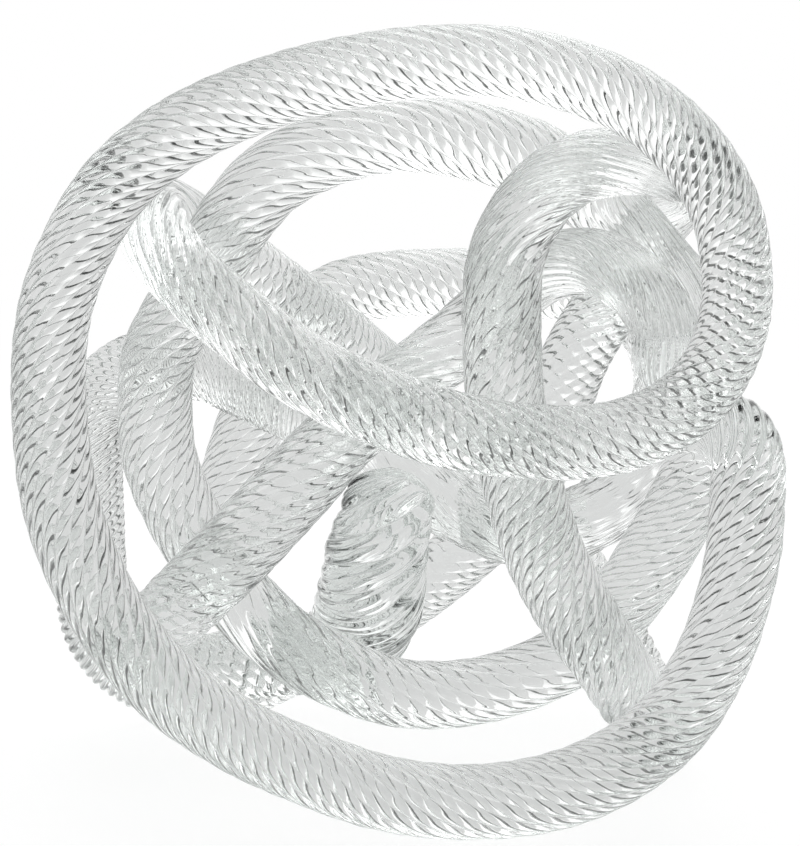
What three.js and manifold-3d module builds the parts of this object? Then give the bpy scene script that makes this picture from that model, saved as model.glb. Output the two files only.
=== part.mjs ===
// Glass rope knot, a clear glass sculpture that stands on its own.
// One long rope of glass is bent hot into an open knot and fused to itself where it crosses.
// The rope is given as lengths, end to end, in the order in which it runs.
import * as THREE from 'three';
import { mergeVertices } from 'three/addons/utils/BufferGeometryUtils.js';
import Module from 'manifold-3d';

// Rope sizes, in mm, and the distance of the eye from which the course was drawn
const ropeDiameter = 25.4;
const seamGap = 0.3;
const eyeDistance = 1100;

// The two rounded ends: length of the rounding, its rings as shares of that length, least share of the radius
const roundedEnd = 11;
const endRings = [0, 0.06, 0.22, 0.5, 1];
const smallestEnd = 0.3;

// How it stands: lean in degrees, and how deep the feet are ground flat, in mm
const leanAngle = 14;
const footDepth = 1.2;

// Ribs of the twisted rope: how many, and how they wander, in radians and over how many mm
const ribs = 14;
const ribWander = 0.16;
const wanderLengths = [23, 41];

// Facets of the rope: the longest step in rope diameters, the sharpest bend and twist from ring to ring
// in degrees, and the slant in degrees beyond which the ribs are too fine for facets to follow
const longestStep = 0.42;
const sharpestBend = 16;
const sharpestTwist = 28;
const finestSlant = 60;

// The course is drawn as it is seen from in front of the ring: a rope's usual thickness and the middle
const drawing = { thickness: 78, across: 400, down: 423 };
const partsPerPoint = 24;
const carriedStep = 0.5;

// A point is [across, down, how far behind the ring, thickness].
// Rope that lies farther back looks smaller, as it does from the eye's distance.
// The ribs' slant from the rope's line in degrees, and their depth as a share of the radius, run from
// the first point of a length to its last.
const course = [
  // The thick end of the rope, lying in the middle, and its run to the lower left
  {
    name: 'closing_end',
    ribSlant: [58, 68],
    ribDepth: [0.095, 0.095],
    points: [
      [394, 468, 148, 94],
      [387, 512, 150, 100],
      [376, 555, 172, 112],
      [370, 600, 214, 120],
      [352, 636, 250, 112],
      [322, 652, 262, 98],
    ],
  },
  // Round at the lower left, then up across the front and behind the crossover
  {
    name: 'front_left_rise',
    ribSlant: [50, 24],
    ribDepth: [0.067, 0.057],
    points: [
      [286, 656, 262, 88],
      [248, 662, 252, 82],
      [205, 670, 238, 78],
      [166, 672, 210, 76],
      [143, 662, 164, 76],
      [145, 642, 118, 78],
      [168, 617, 86, 80],
      [203, 583, 74, 82],
      [253, 532, 70, 84],
      [298, 483, 68, 84],
      [337, 441, 70, 80],
      [380, 403, 84, 78],
      [420, 372, 106, 76],
      [464, 336, 130, 75],
    ],
  },
  // Over to the right, down behind the crossover and back up
  {
    name: 'inner_right_turn',
    ribSlant: [12, 10],
    ribDepth: [0.033, 0.038],
    points: [
      [503, 300, 136, 74],
      [545, 270, 128, 74],
      [590, 261, 106, 74],
      [634, 283, 82, 74],
      [662, 322, 76, 74],
      [668, 355, 91, 76],
      [680, 370, 129, 77],
      [692, 357, 166, 77],
      [697, 324, 181, 78],
      [686, 296, 181, 78],
      [657, 261, 176, 78],
      [627, 227, 170, 79],
    ],
  },
  // The inner loop, from its right side over the top
  {
    name: 'inner_top_arc',
    ribSlant: [28, 30],
    ribDepth: [0.081, 0.081],
    points: [
      [590, 195, 166, 80],
      [535, 160, 162, 84],
      [470, 141, 157, 85],
      [400, 135, 152, 80],
      [331, 149, 147, 80],
      [275, 176, 141, 82],
      [235, 220, 134, 82],
      [211, 262, 130, 80],
    ],
  },
  // The inner loop, down its left side
  {
    name: 'inner_left_arc',
    ribSlant: [30, 32],
    ribDepth: [0.081, 0.081],
    points: [
      [192, 291, 130, 80],
      [176, 319, 130, 80],
      [159, 355, 134, 80],
      [155, 400, 141, 80],
      [159, 455, 149, 80],
      [180, 510, 156, 80],
    ],
  },
  // The inner loop, along the bottom
  {
    name: 'inner_lower_arc',
    ribSlant: [16, 26],
    ribDepth: [0.048, 0.067],
    points: [
      [210, 560, 160, 80],
      [245, 605, 158, 80],
      [290, 645, 154, 78],
      [340, 673, 152, 76],
      [400, 693, 156, 74],
      [470, 692, 164, 73],
      [540, 671, 172, 73],
    ],
  },
  // Up the right side, a tight turn behind the crossover, and down again
  {
    name: 'inner_right_rise',
    ribSlant: [28, 38],
    ribDepth: [0.081, 0.081],
    points: [
      [586, 643, 172, 74],
      [624, 600, 160, 77],
      [660, 546, 134, 79],
      [687, 497, 108, 79],
      [701, 468, 102, 79],
      [709, 443, 91, 78],
      [725, 429, 64, 78],
      [741, 441, 38, 78],
      [748, 469, 22, 78],
      [747, 504, 12, 78],
      [745, 540, 8, 78],
    ],
  },
  // The big ring, along the bottom to the left
  {
    name: 'ring_lower',
    ribSlant: [32, 29],
    ribDepth: [0.081, 0.081],
    points: [
      [735, 592, 4, 77],
      [710, 664, 0, 78],
      [661, 734, -4, 80],
      [575, 785, -4, 80],
      [470, 802, 0, 78],
      [380, 792, 0, 78],
      [300, 764, 0, 78],
      [230, 731, 0, 78],
      [160, 680, 0, 79],
    ],
  },
  // The big ring, up the left side and over the top
  {
    name: 'ring_upper',
    ribSlant: [30, 32],
    ribDepth: [0.081, 0.085],
    points: [
      [101, 603, 0, 79],
      [62, 508, 0, 80],
      [49, 405, 0, 78],
      [53, 320, 0, 77],
      [76, 249, 0, 76],
      [114, 187, 0, 76],
      [163, 143, 0, 76],
      [217, 113, 0, 76],
      [280, 89, 0, 75],
      [350, 72, 0, 75],
      [425, 62, 0, 75],
      [500, 62, 0, 75],
      [572, 76, 0, 75],
      [638, 105, 0, 74],
      [693, 153, 0, 74],
      [726, 212, 0, 74],
    ],
  },
  // Across the whole front to the left, and round behind the inner loop
  {
    name: 'front_crossover',
    ribSlant: [50, 16],
    ribDepth: [0.081, 0.057],
    points: [
      [737, 275, 0, 74],
      [732, 330, -3, 74],
      [710, 378, -6, 74],
      [665, 419, -10, 75],
      [600, 440, -14, 76],
      [520, 441, -16, 79],
      [440, 427, -16, 82],
      [370, 402, -14, 82],
      [300, 368, -6, 80],
      [245, 328, 4, 79],
      [198, 288, 18, 78],
      [165, 251, 42, 78],
      [151, 223, 86, 78],
      [150, 209, 138, 77],
      [166, 212, 188, 76],
      [194, 229, 215, 76],
    ],
  },
  // The long run down behind everything
  {
    name: 'back_diagonal',
    ribSlant: [50, 38],
    ribDepth: [0.085, 0.085],
    points: [
      [222, 250, 224, 76],
      [252, 272, 226, 76],
      [300, 309, 226, 76],
      [350, 349, 240, 76],
      [400, 394, 284, 76],
      [450, 440, 350, 76],
      [505, 492, 396, 76],
      [555, 545, 390, 76],
    ],
  },
  // Round at the lower right and up across the front
  {
    name: 'lower_right_turn',
    ribSlant: [45, 32],
    ribDepth: [0.09, 0.09],
    points: [
      [592, 598, 358, 76],
      [619, 647, 322, 76],
      [640, 690, 286, 76],
      [654, 724, 236, 76],
      [654, 730, 176, 76],
      [641, 710, 120, 76],
      [614, 668, 88, 80],
      [576, 612, 78, 84],
      [547, 560, 72, 84],
      [524, 490, 69, 84],
    ],
  },
  // Up the middle, over the inner loop at the top right and behind it
  {
    name: 'front_right_rise',
    ribSlant: [34, 16],
    ribDepth: [0.076, 0.057],
    points: [
      [512, 441, 69, 84],
      [503, 370, 60, 84],
      [502, 300, 52, 84],
      [507, 255, 52, 82],
      [525, 215, 58, 80],
      [553, 184, 68, 78],
      [586, 167, 78, 76],
      [624, 161, 92, 75],
      [662, 163, 118, 74],
      [688, 176, 164, 74],
      [677, 197, 222, 74],
    ],
  },
  // Down behind the middle to the lower left
  {
    name: 'back_drop',
    ribSlant: [45, 45],
    ribDepth: [0.076, 0.076],
    points: [
      [650, 228, 256, 74],
      [625, 268, 264, 74],
      [602, 312, 266, 75],
      [578, 352, 262, 76],
      [559, 400, 266, 76],
      [542, 450, 282, 76],
      [514, 503, 316, 75],
      [470, 547, 336, 74],
      [420, 588, 350, 74],
    ],
  },
  // Round outside the ring at the lower left and up its left side
  {
    name: 'lower_left_turn',
    ribSlant: [50, 72],
    ribDepth: [0.095, 0.028],
    points: [
      [360, 626, 364, 74],
      [300, 658, 366, 74],
      [240, 684, 356, 75],
      [183, 688, 334, 77],
      [132, 668, 290, 79],
      [101, 632, 244, 80],
      [91, 585, 216, 80],
      [88, 520, 206, 80],
      [88, 450, 208, 79],
      [99, 401, 216, 77],
      [128, 371, 224, 76],
      [172, 362, 225, 76],
      [215, 370, 224, 76],
      [262, 392, 226, 76],
      [300, 411, 229, 76],
    ],
  },
  // Across behind the middle, round at the right and up
  {
    name: 'behind_arc',
    ribSlant: [14, 8],
    ribDepth: [0.048, 0.048],
    points: [
      [338, 434, 233, 76],
      [374, 457, 236, 76],
      [415, 483, 238, 76],
      [465, 512, 237, 76],
      [518, 531, 236, 78],
      [564, 528, 238, 80],
      [606, 506, 242, 80],
      [641, 466, 252, 78],
      [661, 420, 276, 76],
      [666, 372, 308, 76],
      [650, 326, 340, 76],
    ],
  },
  // Along the top at the back and down to the hidden end of the rope
  {
    name: 'far_back_arc',
    ribSlant: [38, 36],
    ribDepth: [0.081, 0.081],
    points: [
      [606, 298, 350, 76],
      [555, 287, 342, 75],
      [500, 282, 332, 75],
      [440, 282, 318, 75],
      [385, 285, 308, 75],
      [338, 295, 308, 75],
      [300, 323, 309, 76],
      [272, 368, 310, 76],
      [252, 420, 308, 76],
      [236, 470, 304, 76],
      [222, 520, 300, 76],
      [214, 560, 296, 74],
    ],
  },
];

const courseUnit = ropeDiameter / drawing.thickness;
const lean = THREE.MathUtils.degToRad(leanAngle);
const stepLength = ropeDiameter * longestStep;
const stepBend = THREE.MathUtils.degToRad(sharpestBend);
const stepTwist = THREE.MathUtils.degToRad(sharpestTwist);
const finestRibs = THREE.MathUtils.degToRad(finestSlant);
const ribAngle = 2 * Math.PI / ribs;
const sharpestSkew = stepTwist * 1.5;

function standingPoint([across, down, behind]) {
  const back = behind * courseUnit;
  const spread = courseUnit * (1 + back / eyeDistance);
  const right = (across - drawing.across) * spread;
  const up = (drawing.down - down) * spread;
  const y = up * Math.sin(lean) + back * Math.cos(lean);
  const z = up * Math.cos(lean) - back * Math.sin(lean);
  return new THREE.Vector3(right, y, z);
}

function drawnPoints({ points, ribSlant, ribDepth }) {
  return points.map((point, index) => {
    const share = index / (points.length - 1);
    const slant = THREE.MathUtils.degToRad(THREE.MathUtils.lerp(...ribSlant, share));
    const depth = THREE.MathUtils.lerp(...ribDepth, share);
    return { place: standingPoint(point), radius: point[3] * courseUnit / 2, slant, depth };
  });
}

// The rope's middle line, with the distance along it at every drawn point
const drawn = course.flatMap(drawnPoints);
const line = new THREE.CatmullRomCurve3(drawn.map(({ place }) => place), false, 'centripetal');
line.arcLengthDivisions = (drawn.length - 1) * partsPerPoint;
const distances = line.getLengths();
const ropeLength = line.getLength();
const pointDistance = drawn.map((point, index) => distances[index * partsPerPoint]);

function middleAt(distance) {
  return line.getPointAt(distance / ropeLength);
}

function directionAt(distance) {
  return line.getTangentAt(distance / ropeLength);
}

// The radius, the slant and the depth of the ribs change smoothly from point to point
function valueAt(name, distance) {
  const along = line.getUtoTmapping(distance / ropeLength) * (drawn.length - 1);
  const before = Math.min(Math.floor(along), drawn.length - 2);
  const share = THREE.MathUtils.smoothstep(along, before, before + 1);
  return THREE.MathUtils.lerp(drawn[before][name], drawn[before + 1][name], share);
}

// The rope's two ends are rounded
function roundingAt(distance) {
  const toEnd = Math.min(distance, ropeLength - distance, roundedEnd);
  const inward = 1 - toEnd / roundedEnd;
  return Math.max(Math.sqrt(1 - inward * inward), smallestEnd);
}

function twistRate(distance) {
  return Math.tan(valueAt('slant', distance)) / valueAt('radius', distance);
}

// Places along one length of rope where a ring of corners is set, closer together on bends and twists
function ringPlaces(from, to) {
  const places = [];
  let place = from;
  if (from === 0) {
    places.push(...endRings.map((share) => share * roundedEnd));
    place = places.pop();
  }
  const stop = to === ropeLength ? to - roundedEnd : to;
  while (place < stop - stepLength / 3) {
    places.push(place);
    const ahead = Math.min(place + stepLength, ropeLength);
    const bend = directionAt(place).angleTo(directionAt(ahead));
    const isFine = valueAt('slant', place) > finestRibs;
    const twist = isFine ? 0 : twistRate(place) * stepLength;
    place += stepLength / Math.max(1, bend / stepBend, twist / stepTwist);
  }
  places.push(stop);
  if (to === ropeLength) {
    places.pop();
    places.push(...endRings.map((share) => ropeLength - share * roundedEnd).reverse());
  }
  return places;
}

// One frame is carried along the whole rope, turned no more than the bends need, so that the ribs run
// on from length to length. The turn of the ribs is kept beside it.
const carried = { distance: 0, direction: directionAt(0), side: new THREE.Vector3(), turn: 0 };
carried.side.crossVectors(new THREE.Vector3(0, 0, 1), carried.direction).normalize();

function carryTo(distance) {
  while (carried.distance < distance) {
    const step = Math.min(carriedStep, distance - carried.distance);
    carried.distance += step;
    carried.turn += twistRate(carried.distance) * step;
    const direction = directionAt(carried.distance);
    carried.side.applyQuaternion(new THREE.Quaternion().setFromUnitVectors(carried.direction, direction));
    carried.side.addScaledVector(direction, -carried.side.dot(direction)).normalize();
    carried.direction = direction;
  }
}

function ribTurnAt(distance) {
  const [short, long] = wanderLengths;
  return carried.turn + ribWander * (Math.sin(distance / short) + Math.sin(distance / long + 2) / 2);
}

function ropeGeometry(from, to) {
  const places = ringPlaces(from, to);
  const sides = ribs * 2;
  const corners = [];
  const triangles = [];
  let turn = 0;
  let turnBefore = 0;
  for (const place of places) {
    carryTo(place);
    const twist = ribTurnAt(place) - turnBefore;
    turn += twist > sharpestSkew ? twist % ribAngle : twist;
    turnBefore += twist;
    const middle = middleAt(place);
    const other = new THREE.Vector3().crossVectors(carried.direction, carried.side);
    const crest = valueAt('radius', place) * roundingAt(place);
    const depth = valueAt('slant', place) > finestRibs ? 0 : valueAt('depth', place);
    const groove = crest * (1 - depth);
    for (let corner = 0; corner < sides; corner += 1) {
      const angle = turn + ribAngle * corner / 2;
      const radius = corner % 2 ? crest : groove;
      const spoke = middle.clone();
      spoke.addScaledVector(carried.side, radius * Math.cos(angle));
      spoke.addScaledVector(other, radius * Math.sin(angle));
      corners.push(...spoke.toArray());
    }
  }
  const lastRing = (places.length - 1) * sides;
  const startMiddle = places.length * sides;
  const endMiddle = startMiddle + 1;
  corners.push(...middleAt(places[0]).toArray(), ...middleAt(places.at(-1)).toArray());
  for (let corner = 0; corner < sides; corner += 1) {
    const next = (corner + 1) % sides;
    for (let ring = 0; ring < lastRing; ring += sides) {
      const above = ring + sides;
      triangles.push(ring + corner, ring + next, above + corner);
      triangles.push(ring + next, above + next, above + corner);
    }
    triangles.push(startMiddle, next, corner);
    triangles.push(endMiddle, lastRing + corner, lastRing + next);
  }
  const geometry = new THREE.BufferGeometry();
  geometry.setAttribute('position', new THREE.Float32BufferAttribute(corners, 3));
  geometry.setIndex(triangles);
  return geometry;
}

// Solids for grinding the feet
const wasm = await Module();
wasm.setup();

function toSolid(geometry) {
  const bare = geometry.clone();
  bare.deleteAttribute('normal');
  bare.deleteAttribute('uv');
  const merged = mergeVertices(bare);
  const vertProperties = new Float32Array(merged.attributes.position.array);
  const triVerts = new Uint32Array(merged.index.array);
  return new wasm.Manifold(new wasm.Mesh({ numProp: 3, vertProperties, triVerts }));
}

function toGeometry(solid) {
  const mesh = solid.getMesh();
  const geometry = new THREE.BufferGeometry();
  geometry.setAttribute('position', new THREE.Float32BufferAttribute(mesh.vertProperties, 3));
  geometry.setIndex(Array.from(mesh.triVerts));
  return geometry;
}

// Lengths of rope from seam to seam, each drawn back from its seams by half the gap
const lengths = [];
let firstPoint = 0;
for (const { name, points } of course) {
  const nextPoint = firstPoint + points.length;
  const isLast = nextPoint === drawn.length;
  const from = firstPoint === 0 ? 0 : pointDistance[firstPoint] + seamGap / 2;
  const to = isLast ? ropeLength : pointDistance[nextPoint] - seamGap / 2;
  lengths.push({ name, geometry: ropeGeometry(from, to) });
  firstPoint = nextPoint;
}

// The knot stands on three feet ground level with each other
const box = new THREE.Box3();
for (const { geometry } of lengths) {
  geometry.computeBoundingBox();
  box.union(geometry.boundingBox);
}
const floor = box.min.z + footDepth;
const boxSize = box.getSize(new THREE.Vector3());
const boxMiddle = box.getCenter(new THREE.Vector3());
const floorBlock = new THREE.BoxGeometry(boxSize.x * 2, boxSize.y * 2, boxSize.z);
floorBlock.translate(boxMiddle.x, boxMiddle.y, floor - boxSize.z / 2);
const ground = toSolid(floorBlock);

const glassKnot = new THREE.Group();
for (const { name, geometry } of lengths) {
  const reachesFloor = geometry.boundingBox.min.z < floor;
  const body = reachesFloor ? toGeometry(toSolid(geometry).subtract(ground)) : geometry;
  body.translate(-boxMiddle.x, -boxMiddle.y, -floor);
  body.computeVertexNormals();
  const glass = new THREE.MeshStandardMaterial({ color: 0xe4ebe7, roughness: 0.05, metalness: 0 });
  const mesh = new THREE.Mesh(body, glass);
  mesh.name = name;
  glassKnot.add(mesh);
}

export default glassKnot;
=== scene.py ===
import bpy
import bmesh
import numpy as np
from math import cos, pi, radians, sin
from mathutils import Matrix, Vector


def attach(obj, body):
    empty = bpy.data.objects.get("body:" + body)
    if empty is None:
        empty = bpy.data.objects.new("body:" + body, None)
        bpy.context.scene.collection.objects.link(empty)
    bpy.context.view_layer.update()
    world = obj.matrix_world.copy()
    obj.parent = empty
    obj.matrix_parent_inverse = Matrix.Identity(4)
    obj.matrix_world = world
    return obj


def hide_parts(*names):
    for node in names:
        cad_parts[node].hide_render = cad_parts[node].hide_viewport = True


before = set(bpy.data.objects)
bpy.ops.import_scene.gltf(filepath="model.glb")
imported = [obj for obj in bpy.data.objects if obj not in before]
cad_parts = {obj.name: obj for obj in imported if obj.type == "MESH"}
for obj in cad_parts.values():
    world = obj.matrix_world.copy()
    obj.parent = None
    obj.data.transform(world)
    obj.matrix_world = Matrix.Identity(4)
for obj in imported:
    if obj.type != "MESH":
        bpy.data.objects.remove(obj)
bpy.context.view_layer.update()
print("frame loaded,", len(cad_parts), "lengths of rope")

# The rope as a whole, in metres and degrees. A course point is across, down, how far behind the ring
# and thickness, in units of the front view, as seen from eyeDistance.
rope = {
    "crestDiameter": 0.0254,
    "drawnThickness": 78,
    "eyeDistance": 1.1,
    "middle": (400, 423),
    "middleInPart": (0.00009, -0.04547, 0.13149),
    "lean": 14,
    "ribs": 14,
    "pointsPerRib": 18,
    "step": 0.0015,              # from ring to ring of the skin, shorter where the ribs slant more
    "stepShare": 0.85,           # of those rings, so that each length stays under its limit of triangles
    "courseStep": 0.0004,
    "carriedStep": 0.0005,
    "seamGap": 0.00002,
    "roundedEnd": 0.011,
    "bluntEnd": 0.12,            # least share of the thickness at the rope's two ends
    "handWobble": 0.012,         # how much a hand-pulled rope's thickness wanders
    "wobbleLength": 0.017,
    "ribWander": 0.16,           # how far the ribs drift sideways, in radians
    "wanderLengths": (0.023, 0.041),
}

# The lengths, in the order in which the rope runs. Each pair of values runs from a length's start to its end:
# the ribs' slant from the rope's line in degrees, their depth as a share of its radius, how wide and soft
# their grooves are, and how high the fine lines stand.

# the thick end of the rope, lying in the middle, and its run to the lower left
closingEnd = {
    "name": "closing_end",
    "ribSlant": (58, 68),
    "ribDepth": (0.01, 0.03),
    "ribSoftness": (0.8, 0.8),
    "fineLines": (0.001, 0.003),
    "foldDepth": 0.085,
    "course": [
        (394, 468, 148, 94), (387, 512, 150, 100), (376, 555, 172, 112), (370, 600, 214, 120),
        (352, 636, 250, 112), (322, 652, 262, 98),
    ],
}
# round at the lower left, then up across the front and behind the crossover
frontLeftRise = {
    "name": "front_left_rise",
    "ribSlant": (50, 24),
    "ribDepth": (0.067, 0.057),
    "ribSoftness": (0.68, 0.68),
    "fineLines": (0.008, 0.006),
    "course": [
        (286, 656, 262, 88), (248, 662, 252, 82), (205, 670, 238, 78), (166, 672, 210, 76),
        (143, 662, 164, 76), (145, 642, 118, 78), (168, 617, 86, 80), (203, 583, 74, 82),
        (253, 532, 70, 84), (298, 483, 68, 84), (337, 441, 70, 80), (380, 403, 84, 78),
        (420, 372, 106, 76), (464, 336, 130, 75),
    ],
}
# over to the right, down behind the crossover and back up
innerRightTurn = {
    "name": "inner_right_turn",
    "ribSlant": (12, 10),
    "ribDepth": (0.03, 0.03),
    "ribSoftness": (0.8, 0.8),
    "fineLines": (0.036, 0.036),
    "course": [
        (503, 300, 136, 74), (545, 270, 128, 74), (590, 261, 106, 74), (634, 283, 82, 74),
        (662, 322, 76, 74), (668, 355, 91, 76), (680, 370, 129, 77), (692, 357, 166, 77),
        (697, 324, 181, 78), (686, 296, 181, 78), (657, 261, 176, 78), (627, 227, 170, 79),
    ],
}
# the inner loop, from its right side over the top
innerTopArc = {
    "name": "inner_top_arc",
    "ribSlant": (28, 30),
    "ribDepth": (0.081, 0.081),
    "ribSoftness": (0.6, 0.6),
    "fineLines": (0.002, 0.002),
    "course": [
        (590, 195, 166, 80), (535, 160, 162, 84), (470, 141, 157, 85), (400, 135, 152, 80),
        (331, 149, 147, 80), (275, 176, 141, 82), (235, 220, 134, 82), (211, 262, 130, 80),
    ],
}
# the inner loop, down its left side
innerLeftArc = {
    "name": "inner_left_arc",
    "ribSlant": (30, 32),
    "ribDepth": (0.081, 0.081),
    "ribSoftness": (0.6, 0.6),
    "fineLines": (0.002, 0.002),
    "course": [
        (192, 291, 130, 80), (176, 319, 130, 80), (159, 355, 134, 80), (155, 400, 141, 80),
        (159, 455, 149, 80), (180, 510, 156, 80),
    ],
}
# the inner loop, along the bottom
innerLowerArc = {
    "name": "inner_lower_arc",
    "ribSlant": (16, 26),
    "ribDepth": (0.048, 0.067),
    "ribSoftness": (0.68, 0.6),
    "fineLines": (0.005, 0.002),
    "course": [
        (210, 560, 160, 80), (245, 605, 158, 80), (290, 645, 154, 78), (340, 673, 152, 76),
        (400, 693, 156, 74), (470, 692, 164, 73), (540, 671, 172, 73),
    ],
}
# up the right side, a tight turn behind the crossover, and down again
innerRightRise = {
    "name": "inner_right_rise",
    "ribSlant": (28, 38),
    "ribDepth": (0.095, 0.095),
    "ribSoftness": (0.7, 0.8),
    "fineLines": (0.003, 0.002),
    "course": [
        (586, 643, 172, 74), (624, 600, 160, 77), (660, 546, 134, 79), (687, 497, 108, 79),
        (701, 468, 102, 79), (709, 443, 91, 78), (725, 429, 64, 78), (741, 441, 38, 78),
        (748, 469, 22, 78), (747, 504, 12, 78), (745, 540, 8, 78),
    ],
}
# the big ring, along the bottom to the left
ringLower = {
    "name": "ring_lower",
    "ribSlant": (32, 29),
    "ribDepth": (0.09, 0.08),
    "ribSoftness": (0.8, 0.6),
    "fineLines": (0.0015, 0.0015),
    "course": [
        (735, 592, 4, 77), (710, 664, 0, 78), (661, 734, -4, 80), (575, 785, -4, 80),
        (470, 802, 0, 78), (380, 792, 0, 78), (300, 764, 0, 78), (230, 731, 0, 78),
        (160, 680, 0, 79),
    ],
}
# the big ring, up the left side and over the top
ringUpper = {
    "name": "ring_upper",
    "ribSlant": (30, 32),
    "ribDepth": (0.08, 0.085),
    "ribSoftness": (0.85, 0.7),
    "fineLines": (0.002, 0.003),
    "course": [
        (101, 603, 0, 79), (62, 508, 0, 80), (49, 405, 0, 78), (53, 320, 0, 77),
        (76, 249, 0, 76), (114, 187, 0, 76), (163, 143, 0, 76), (217, 113, 0, 76),
        (280, 89, 0, 75), (350, 72, 0, 75), (425, 62, 0, 75), (500, 62, 0, 75),
        (572, 76, 0, 75), (638, 105, 0, 74), (693, 153, 0, 74), (726, 212, 0, 74),
    ],
}
# across the whole front to the left, and round behind the inner loop
frontCrossover = {
    "name": "front_crossover",
    "ribSlant": (50, 16),
    "ribDepth": (0.08, 0.07),
    "ribSoftness": (0.88, 0.7),
    "fineLines": (0.005, 0.008),
    "course": [
        (737, 275, 0, 74), (732, 330, -3, 74), (710, 378, -6, 74), (665, 419, -10, 75),
        (600, 440, -14, 76), (520, 441, -16, 79), (440, 427, -16, 82), (370, 402, -14, 82),
        (300, 368, -6, 80), (245, 328, 4, 79), (198, 288, 18, 78), (165, 251, 42, 78),
        (151, 223, 86, 78), (150, 209, 138, 77), (166, 212, 188, 76), (194, 229, 215, 76),
    ],
}
# the long run down behind everything
backDiagonal = {
    "name": "back_diagonal",
    "ribSlant": (50, 38),
    "ribDepth": (0.085, 0.085),
    "ribSoftness": (0.62, 0.62),
    "fineLines": (0.002, 0.002),
    "course": [
        (222, 250, 224, 76), (252, 272, 226, 76), (300, 309, 226, 76), (350, 349, 240, 76),
        (400, 394, 284, 76), (450, 440, 350, 76), (505, 492, 396, 76), (555, 545, 390, 76),
    ],
}
# round at the lower right and up across the front
lowerRightTurn = {
    "name": "lower_right_turn",
    "ribSlant": (45, 32),
    "ribDepth": (0.13, 0.085),
    "ribSoftness": (0.8, 0.6),
    "fineLines": (0.002, 0.002),
    "course": [
        (592, 598, 358, 76), (619, 647, 322, 76), (640, 690, 286, 76), (654, 724, 236, 76),
        (654, 730, 176, 76), (641, 710, 120, 76), (614, 668, 88, 80), (576, 612, 78, 84),
        (547, 560, 72, 84), (524, 490, 69, 84),
    ],
}
# up the middle, over the inner loop at the top right and behind it
frontRightRise = {
    "name": "front_right_rise",
    "ribSlant": (34, 16),
    "ribDepth": (0.065, 0.045),
    "ribSoftness": (0.7, 0.7),
    "fineLines": (0.006, 0.034),
    "course": [
        (512, 441, 69, 84), (503, 370, 60, 84), (502, 300, 52, 84), (507, 255, 52, 82),
        (525, 215, 58, 80), (553, 184, 68, 78), (586, 167, 78, 76), (624, 161, 92, 75),
        (662, 163, 118, 74), (688, 176, 164, 74), (677, 197, 222, 74),
    ],
}
# down behind the middle to the lower left
backDrop = {
    "name": "back_drop",
    "ribSlant": (45, 45),
    "ribDepth": (0.05, 0.05),
    "ribSoftness": (0.9, 0.9),
    "fineLines": (0.002, 0.002),
    "course": [
        (650, 228, 256, 74), (625, 268, 264, 74), (602, 312, 266, 75), (578, 352, 262, 76),
        (559, 400, 266, 76), (542, 450, 282, 76), (514, 503, 316, 75), (470, 547, 336, 74),
        (420, 588, 350, 74),
    ],
}
# round outside the ring at the lower left and up its left side
lowerLeftTurn = {
    "name": "lower_left_turn",
    "ribSlant": (50, 72),
    "ribDepth": (0.11, 0.03),
    "ribSoftness": (0.8, 0.8),
    "fineLines": (0.002, 0.002),
    "course": [
        (360, 626, 364, 74), (300, 658, 366, 74), (240, 684, 356, 75), (183, 688, 334, 77),
        (132, 668, 290, 79), (101, 632, 244, 80), (91, 585, 216, 80), (88, 520, 206, 80),
        (88, 450, 208, 79), (99, 401, 216, 77), (128, 371, 224, 76), (172, 362, 225, 76),
        (215, 370, 224, 76), (262, 392, 226, 76), (300, 411, 229, 76),
    ],
}
# across behind the middle, round at the right and up
behindArc = {
    "name": "behind_arc",
    "ribSlant": (14, 8),
    "ribDepth": (0.03, 0.03),
    "ribSoftness": (0.8, 0.8),
    "fineLines": (0.016, 0.016),
    "foldDepth": 0.05,
    "course": [
        (338, 434, 233, 76), (374, 457, 236, 76), (415, 483, 238, 76), (465, 512, 237, 76),
        (518, 531, 236, 78), (564, 528, 238, 80), (606, 506, 242, 80), (641, 466, 252, 78),
        (661, 420, 276, 76), (666, 372, 308, 76), (650, 326, 340, 76),
    ],
}
# along the top at the back and down to the hidden end of the rope
farBackArc = {
    "name": "far_back_arc",
    "ribSlant": (38, 36),
    "ribDepth": (0.081, 0.081),
    "ribSoftness": (0.6, 0.6),
    "fineLines": (0.002, 0.002),
    "course": [
        (606, 298, 350, 76), (555, 287, 342, 75), (500, 282, 332, 75), (440, 282, 318, 75),
        (385, 285, 308, 75), (338, 295, 308, 75), (300, 323, 309, 76), (272, 368, 310, 76),
        (252, 420, 308, 76), (236, 470, 304, 76), (222, 520, 300, 76), (214, 560, 296, 74),
    ],
}

lengths = [closingEnd, frontLeftRise, innerRightTurn, innerTopArc, innerLeftArc, innerLowerArc,
           innerRightRise, ringLower, ringUpper, frontCrossover, backDiagonal, lowerRightTurn,
           frontRightRise, backDrop, lowerLeftTurn, behindArc, farBackArc]


def standingPoints(drawn):
    # from the front view to the part's own frame, in metres
    unit = rope["crestDiameter"] / rope["drawnThickness"]
    lean = radians(rope["lean"])
    back = drawn[:, 2] * unit
    spread = unit * (1 + back / rope["eyeDistance"])
    right = (drawn[:, 0] - rope["middle"][0]) * spread
    up = (rope["middle"][1] - drawn[:, 1]) * spread
    behind = up * sin(lean) + back * cos(lean)
    above = up * cos(lean) - back * sin(lean)
    return np.stack([right, behind, above], axis=1) + np.array(rope["middleInPart"])


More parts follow.
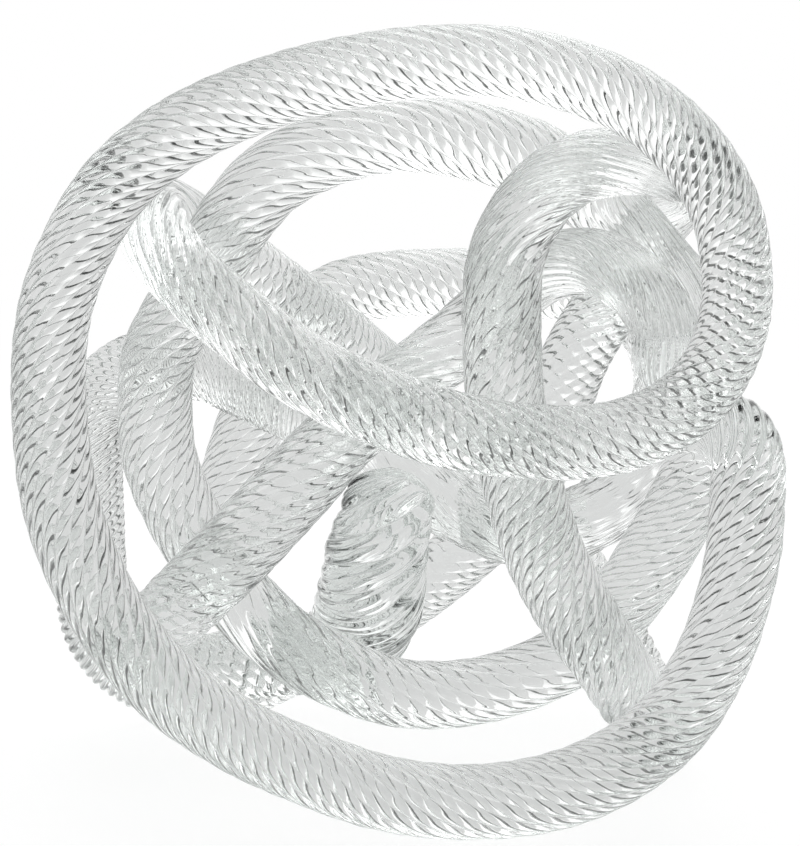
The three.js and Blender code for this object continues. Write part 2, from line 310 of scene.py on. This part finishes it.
def smoothCourse(points, extras, finest):
    # centripetal curve through the points, with the extra values carried along smoothly
    before = np.vstack([2 * points[:1] - points[1:2], points[:-2]])
    after = np.vstack([points[2:], 2 * points[-1:] - points[-2:-1]])
    places, carried, marks = [], [], [0]
    for a, b, c, d, low, high in zip(before, points[:-1], points[1:], after, extras[:-1], extras[1:]):
        one, two, three = (np.linalg.norm(q - p) ** 0.5 for p, q in ((a, b), (b, c), (c, d)))
        leave = ((b - a) / one - (c - a) / (one + two) + (c - b) / two) * two
        arrive = ((c - b) / two - (d - b) / (two + three) + (d - c) / three) * two
        t = np.linspace(0, 1, int(two * two / finest) + 2)[:-1, None]
        held = b * (2*t**3 - 3*t**2 + 1) + leave * (t**3 - 2*t**2 + t)
        places.append(held + c * (3*t**2 - 2*t**3) + arrive * (t**3 - t**2))
        carried.append(low + (high - low) * (3*t**2 - 2*t**3))
        marks.append(marks[-1] + len(t))
    places.append(points[-1:])
    carried.append(extras[-1:])
    return np.vstack(places), np.vstack(carried), marks


def wholeRope():
    drawn, starts = [], [0]
    extras = []
    for length in lengths:
        count = len(length["course"])
        drawn += length["course"]
        slant = np.radians(np.linspace(*length["ribSlant"], count))
        depth = np.linspace(*length["ribDepth"], count)
        softness = np.linspace(*length["ribSoftness"], count)
        fine = np.linspace(*length["fineLines"], count)
        extras += list(zip(slant, depth, softness, fine))
        starts.append(starts[-1] + count)
    drawn = np.array(drawn, float)
    radius = drawn[:, 3:] * rope["crestDiameter"] / rope["drawnThickness"] / 2
    extras = np.hstack([radius, np.array(extras)])
    places, carried, marks = smoothCourse(standingPoints(drawn), extras, rope["courseStep"])
    distance = np.concatenate([[0], np.cumsum(np.linalg.norm(np.diff(places, axis=0), axis=1))])
    seams = [distance[marks[s]] for s in starts[:-1]] + [distance[-1]]
    # even steps, then one frame carried along so that the ribs never jump
    even = np.arange(0, distance[-1], rope["carriedStep"])
    middle = np.stack([np.interp(even, distance, places[:, k]) for k in range(3)], axis=1)
    radius, slant, depth, softness, fine = (np.interp(even, distance, carried[:, k]) for k in range(5))
    ahead = np.gradient(middle, axis=0)
    ahead /= np.linalg.norm(ahead, axis=1)[:, None]
    side = np.zeros_like(ahead)
    side[0] = np.cross((0, 0, 1), ahead[0])
    for k in range(len(even)):
        if k:
            side[k] = side[k - 1]
        side[k] -= ahead[k] * side[k].dot(ahead[k])
        side[k] /= np.linalg.norm(side[k])
    other = np.cross(ahead, side)
    short, long = rope["wanderLengths"]
    turn = np.cumsum(np.tan(slant) / radius) * rope["carriedStep"]
    turn += rope["ribWander"] * (np.sin(even / short) + np.sin(even / long + 2) / 2)
    radius *= 1 + rope["handWobble"] * (np.sin(even / rope["wobbleLength"] + 1) - 1) / 2
    toEnd = np.minimum(np.minimum(even, even[-1] - even), rope["roundedEnd"]) / rope["roundedEnd"]
    radius *= np.maximum(np.sqrt(1 - (1 - toEnd) ** 2), rope["bluntEnd"])
    return {"distance": even, "seams": seams, "middle": middle, "side": side, "other": other,
            "radius": radius, "slant": slant, "turn": turn, "depth": depth, "softness": softness,
            "fine": fine}


whole = wholeRope()
print("rope laid out, %.2f m long" % whole["distance"][-1])

# what is pressed and pulled into the skin: depths and heights are shares of the rope's radius,
# and changes along the rope are in radians a metre
skin = {
    "ribUnevenness": 0.3,        # each rib is this much deeper or shallower than the next
    "unevenAlong": 95,
    "linesAround": 14,           # half the number of fine lines round the rope
    "lineSharpness": 0.8,        # less is sharper
    "lineHeight": 1.3,
    "lineDrift": 0.019,          # metres over which the lines drift sideways
    "lineChange": 0.03,          # metres over which they grow deeper or shallower
    "foldsAround": 2.5,
    "foldsAlong": 340,
    "foldSharpness": 0.7,
    "foldChange": 70,
    "lumpHeight": 0.007,
    "lumpsAlong": (140, 310),
    "pressedIn": 0.012,          # keeps the crests inside the rope's thickness
}


def ribbedSurface(length, start, stop, isFirst, isLast):
    # a flat grid, rolled up round the course, with its ribs pressed in
    start += 0 if isFirst else rope["seamGap"] / 2
    stop -= 0 if isLast else rope["seamGap"] / 2
    inside = (whole["distance"] > start) & (whole["distance"] < stop)
    slantedMore = np.mean(1 / np.cos(whole["slant"][inside]))
    steps = round((stop - start) / rope["step"] * slantedMore * rope["stepShare"])
    around = rope["ribs"] * rope["pointsPerRib"]
    bm = bmesh.new()
    fused = bm.faces.layers.float.new("fused")
    bmesh.ops.create_grid(bm, x_segments=around, y_segments=steps, size=0.5)
    flat = np.array([v.co for v in bm.verts])
    share = flat[:, 1] + 0.5
    angleShare = flat[:, 0] + 0.5
    along = start + (stop - start) * share

    def at(name):
        values = whole[name]
        if values.ndim == 1:
            return np.interp(along, whole["distance"], values)
        return np.stack([np.interp(along, whole["distance"], values[:, k]) for k in range(3)], axis=1)

    rib = angleShare * rope["ribs"]
    number = np.floor(rib + 1e-6).astype(int) % rope["ribs"]
    inRib = rib - np.floor(rib + 1e-6)
    groove = 1 - np.abs(np.sin(pi * inRib)) ** at("softness")
    # each rib is a little deeper or shallower than the next, and changes along the rope
    ups = np.sin(number * number + along * skin["unevenAlong"])
    unevenness = 1 + skin["ribUnevenness"] * ups * (1 - groove)
    # fine lines drawn out along the ribs, two to a rib, some of them deeper
    glassAngle = angleShare * 2 * pi
    drift = np.sin(along / skin["lineDrift"] + 3 * glassAngle)
    fine = np.abs(np.sin(skin["linesAround"] * glassAngle + drift)) ** skin["lineSharpness"]
    fine = fine * (1 + 0.5 * np.sin(5 * glassAngle + along / skin["lineChange"]))
    angle = glassAngle + at("turn")
    # where the soft rope was pushed together it has folds that run nearly round it
    ridge = np.abs(np.sin(skin["foldsAround"] * angle - along * skin["foldsAlong"]))
    fold = length.get("foldDepth", 0) * (1 - ridge ** skin["foldSharpness"])
    fold *= 1 + 0.5 * np.sin(angle + along * skin["foldChange"])
    # soft lumps that the flame leaves
    slow, quick = skin["lumpsAlong"]
    lump = skin["lumpHeight"] * np.sin(3 * angle + along * slow) * np.sin(along * quick + 2 * angle)
    pressed = 1 - at("depth") * groove * unevenness + lump * (1 - groove) - fold
    radius = at("radius") * (pressed + at("fine") * (fine - 1.5) * skin["lineHeight"] - skin["pressedIn"])
    place = at("middle") + at("side") * (radius * np.cos(angle))[:, None]
    place = place + at("other") * (radius * np.sin(angle))[:, None]
    # it rests on the floor and is nowhere below it
    place[:, 2] = np.maximum(place[:, 2], 0.0)
    for v, co in zip(bm.verts, place):
        v.co = co
    bmesh.ops.remove_doubles(bm, verts=bm.verts, dist=1e-6)
    rims = bmesh.ops.holes_fill(bm, edges=[e for e in bm.edges if e.is_boundary], sides=0)["faces"]
    bmesh.ops.recalc_face_normals(bm, faces=bm.faces)
    for face in bm.faces:
        face.smooth = True
    for face in rims:
        face.smooth = False
        face[fused] = 1
        for edge in face.edges:
            edge.smooth = False
    mesh = bpy.data.meshes.new(length["name"])
    bm.to_mesh(mesh)
    bm.free()
    return mesh


def glassRope(name, values):
    material = bpy.data.materials.new(name)
    material.use_nodes = True
    nodes, links = material.node_tree.nodes, material.node_tree.links
    shader = nodes["Principled BSDF"]
    shader.inputs["Base Color"].default_value = (*values["colour"], 1)
    shader.inputs["Roughness"].default_value = values["roughness"]
    shader.inputs["IOR"].default_value = values["ior"]
    shader.inputs["Transmission Weight"].default_value = 1
    output = nodes["Material Output"]
    coords = nodes.new("ShaderNodeTexCoord")
    wave = nodes.new("ShaderNodeTexNoise")
    wave.inputs["Scale"].default_value = values["waveScale"]
    wave.inputs["Detail"].default_value = values["waveDetail"]
    bump = nodes.new("ShaderNodeBump")
    bump.inputs["Strength"].default_value = values["waveStrength"]
    bump.inputs["Distance"].default_value = values["waveDepth"]
    links.new(coords.outputs["Object"], wave.inputs["Vector"])
    links.new(wave.outputs["Fac"], bump.inputs["Height"])
    links.new(bump.outputs["Normal"], shader.inputs["Normal"])
    # the mass of the glass is very slightly grey-green
    body = nodes.new("ShaderNodeVolumeAbsorption")
    body.inputs["Color"].default_value = (*values["bodyColour"], 1)
    body.inputs["Density"].default_value = values["bodyDensity"]
    links.new(body.outputs["Volume"], output.inputs["Volume"])
    # light passes on through to the floor, so the shadow stays soft and pale
    light = nodes.new("ShaderNodeLightPath")
    clear = nodes.new("ShaderNodeBsdfTransparent")
    clear.inputs["Color"].default_value = (*values["shadowTint"], 1)
    mix = nodes.new("ShaderNodeMixShader")
    links.new(light.outputs["Is Shadow Ray"], mix.inputs["Fac"])
    links.new(shader.outputs["BSDF"], mix.inputs[1])
    links.new(clear.outputs["BSDF"], mix.inputs[2])
    # where two lengths are fused the glass runs on, so their end faces show nothing
    fused = nodes.new("ShaderNodeAttribute")
    fused.attribute_name = "fused"
    nothing = nodes.new("ShaderNodeBsdfTransparent")
    joined = nodes.new("ShaderNodeMixShader")
    links.new(fused.outputs["Fac"], joined.inputs["Fac"])
    links.new(mix.outputs["Shader"], joined.inputs[1])
    links.new(nothing.outputs["BSDF"], joined.inputs[2])
    links.new(joined.outputs["Shader"], output.inputs["Surface"])
    return material


clearGlass = glassRope("clear_glass", {
    "colour": (0.985, 0.99, 0.987),
    "roughness": 0.0,
    "ior": 1.5,
    "waveScale": 160,
    "waveDetail": 2,
    "waveStrength": 0.08,
    "waveDepth": 0.0004,
    "bodyColour": (0.72, 0.80, 0.76),
    "bodyDensity": 5.5,
    "shadowTint": (0.86, 0.88, 0.87),
})

for place, length in enumerate(lengths):
    start, stop = whole["seams"][place], whole["seams"][place + 1]
    mesh = ribbedSurface(length, start, stop, place == 0, place == len(lengths) - 1)
    piece = bpy.data.objects.new(length["name"] + "_glass", mesh)
    bpy.context.scene.collection.objects.link(piece)
    mesh.materials.append(clearGlass)
    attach(piece, "root")
    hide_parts(length["name"])
    print("made", length["name"], len(mesh.polygons), "faces")

# the white studio; what the glass shows of it is greyer than what the eye sees beside the glass
studio = {
    "floorColour": (0.93, 0.93, 0.93),
    "floorRoughness": 0.9,
    "floorSize": 6,
    "floorBelow": 0.0002,
    "floorWhite": 0.88,          # how much of the floor is plain white to the eye; the rest shows the shadow
    "shadowReach": (0.3, 0.8),                               # metres over which it turns all white
    "floorInGlass": (0.68, 0.95),                            # under the object, and far behind it
    "fromFront": (0.06, 0.12, 0.90, 1.12, 1.05),             # brightness around, from in front to behind,
    "fromBelow": (0.60, 0.75, 1.00, 1.20, 1.50),             # from below to above,
    "fromLeft": (1.20, 0.50, 0.72, 1.13, 1.02, 0.58, 1.50),  # and from left to right, all multiplied
}


def makeFloor():
    bm = bmesh.new()
    bmesh.ops.create_grid(bm, x_segments=1, y_segments=1, size=studio["floorSize"] / 2)
    mesh = bpy.data.meshes.new("floor")
    bm.to_mesh(mesh)
    bm.free()
    floor = bpy.data.objects.new("floor", mesh)
    bpy.context.scene.collection.objects.link(floor)
    material = bpy.data.materials.new("floor_white")
    material.use_nodes = True
    nodes, links = material.node_tree.nodes, material.node_tree.links
    shader = nodes["Principled BSDF"]
    shader.inputs["Base Color"].default_value = (*studio["floorColour"], 1)
    shader.inputs["Roughness"].default_value = studio["floorRoughness"]
    # the eye sees it nearly plain white, and farther off all white, so that it runs into the white behind
    ray = nodes.new("ShaderNodeLightPath")
    coords = nodes.new("ShaderNodeTexCoord")
    split = nodes.new("ShaderNodeSeparateXYZ")
    fading = nodes.new("ShaderNodeMapRange")
    fading.inputs["From Max"].default_value = studio["floorSize"] / 2
    fading.inputs["To Min"].default_value, fading.inputs["To Max"].default_value = studio["floorInGlass"]
    brightness = nodes.new("ShaderNodeMapRange")
    brightness.inputs["To Max"].default_value = 1
    plain = nodes.new("ShaderNodeEmission")
    seen = nodes.new("ShaderNodeMath")
    seen.operation = "MAXIMUM"
    away = nodes.new("ShaderNodeVectorMath")
    away.operation = "LENGTH"
    whiter = nodes.new("ShaderNodeMapRange")
    whiter.inputs["From Min"].default_value, whiter.inputs["From Max"].default_value = studio["shadowReach"]
    whiter.inputs["To Min"].default_value = studio["floorWhite"]
    share = nodes.new("ShaderNodeMath")
    share.operation = "MULTIPLY"
    mix = nodes.new("ShaderNodeMixShader")
    links.new(coords.outputs["Object"], split.inputs["Vector"])
    links.new(split.outputs["Y"], fading.inputs["Value"])
    links.new(fading.outputs["Result"], brightness.inputs["To Min"])
    links.new(ray.outputs["Is Camera Ray"], brightness.inputs["Value"])
    links.new(brightness.outputs["Result"], plain.inputs["Strength"])
    links.new(ray.outputs["Is Camera Ray"], seen.inputs[0])
    links.new(ray.outputs["Is Transmission Ray"], seen.inputs[1])
    links.new(seen.outputs["Value"], share.inputs[0])
    links.new(coords.outputs["Object"], away.inputs[0])
    links.new(away.outputs["Value"], whiter.inputs["Value"])
    links.new(whiter.outputs["Result"], share.inputs[1])
    links.new(share.outputs["Value"], mix.inputs["Fac"])
    links.new(shader.outputs["BSDF"], mix.inputs[1])
    links.new(plain.outputs["Emission"], mix.inputs[2])
    links.new(mix.outputs["Shader"], nodes["Material Output"].inputs["Surface"])
    mesh.materials.append(material)
    floor.location.z = -studio["floorBelow"]


makeFloor()


def brightnessAlong(nodes, links, direction, values):
    # greys set out evenly from one side of the sky to the other
    span = nodes.new("ShaderNodeMapRange")
    span.inputs["From Min"].default_value = -1
    ramp = nodes.new("ShaderNodeValToRGB")
    stops = ramp.color_ramp.elements
    while len(stops) < len(values):
        stops.new(0.5)
    for k, value in enumerate(values):
        stops[k].position = k / (len(values) - 1)
        stops[k].color = (value, value, value, 1)
    links.new(direction, span.inputs["Value"])
    links.new(span.outputs["Result"], ramp.inputs["Fac"])
    return ramp.outputs["Color"]


def makeWorld():
    world = bpy.data.worlds.new("studio")
    bpy.context.scene.world = world
    world.use_nodes = True
    nodes, links = world.node_tree.nodes, world.node_tree.links
    nodes.clear()
    output = nodes.new("ShaderNodeOutputWorld")
    coords = nodes.new("ShaderNodeTexCoord")
    split = nodes.new("ShaderNodeSeparateXYZ")
    links.new(coords.outputs["Generated"], split.inputs["Vector"])
    level = brightnessAlong(nodes, links, split.outputs["Y"], studio["fromFront"])
    for direction, values in (("Z", "fromBelow"), ("X", "fromLeft")):
        both = nodes.new("ShaderNodeVectorMath")
        both.operation = "MULTIPLY"
        links.new(level, both.inputs[0])
        links.new(brightnessAlong(nodes, links, split.outputs[direction], studio[values]), both.inputs[1])
        level = both.outputs["Vector"]
    around = nodes.new("ShaderNodeBackground")
    links.new(level, around.inputs["Color"])
    white = nodes.new("ShaderNodeBackground")
    white.inputs["Color"].default_value = (1, 1, 1, 1)
    light = nodes.new("ShaderNodeLightPath")
    mix = nodes.new("ShaderNodeMixShader")
    links.new(light.outputs["Is Camera Ray"], mix.inputs["Fac"])
    links.new(around.outputs["Background"], mix.inputs[1])
    links.new(white.outputs["Background"], mix.inputs[2])
    links.new(mix.outputs["Shader"], output.inputs["Surface"])


makeWorld()


def softbox(name, place, target, size, power):
    lamp = bpy.data.lights.new(name, "AREA")
    lamp.shape = "RECTANGLE"
    lamp.size, lamp.size_y = size
    lamp.energy = power
    box = bpy.data.objects.new(name, lamp)
    bpy.context.scene.collection.objects.link(box)
    box.location = place
    box.rotation_euler = (Vector(target) - Vector(place)).to_track_quat("-Z", "Y").to_euler()


softboxes = {
    "top_light": {"place": (0.3, 0.3, 1.6), "target": (0, 0, 0.1), "size": (1.6, 1.2), "power": 14},
    "left_light": {"place": (-1.4, -0.5, 0.8), "target": (0, 0, 0.12), "size": (0.5, 1.1), "power": 3},
}

for name, values in softboxes.items():
    softbox(name, **values)

# the photographer's eye, looking square at the front view that the course is drawn in
eye = {
    "distance": rope["eyeDistance"],
    "elevation": rope["lean"],
    "frame": (800, 846),
    "film": 36,
    "farthest": 50,
}


def makeCamera():
    data = bpy.data.cameras.new("camera")
    camera = bpy.data.objects.new("camera", data)
    bpy.context.scene.collection.objects.link(camera)
    bpy.context.scene.camera = camera
    tilt = radians(eye["elevation"])
    target = Vector(rope["middleInPart"])
    camera.location = target + Vector((0, -cos(tilt), sin(tilt))) * eye["distance"]
    camera.rotation_euler = (radians(90) - tilt, 0, 0)
    unit = rope["crestDiameter"] / rope["drawnThickness"]
    data.sensor_width = eye["film"]
    data.lens = eye["film"] * eye["distance"] / (eye["frame"][1] * unit)
    data.clip_end = eye["farthest"]


makeCamera()
bpy.context.scene.view_settings.view_transform = "Standard"
print("studio and camera set")
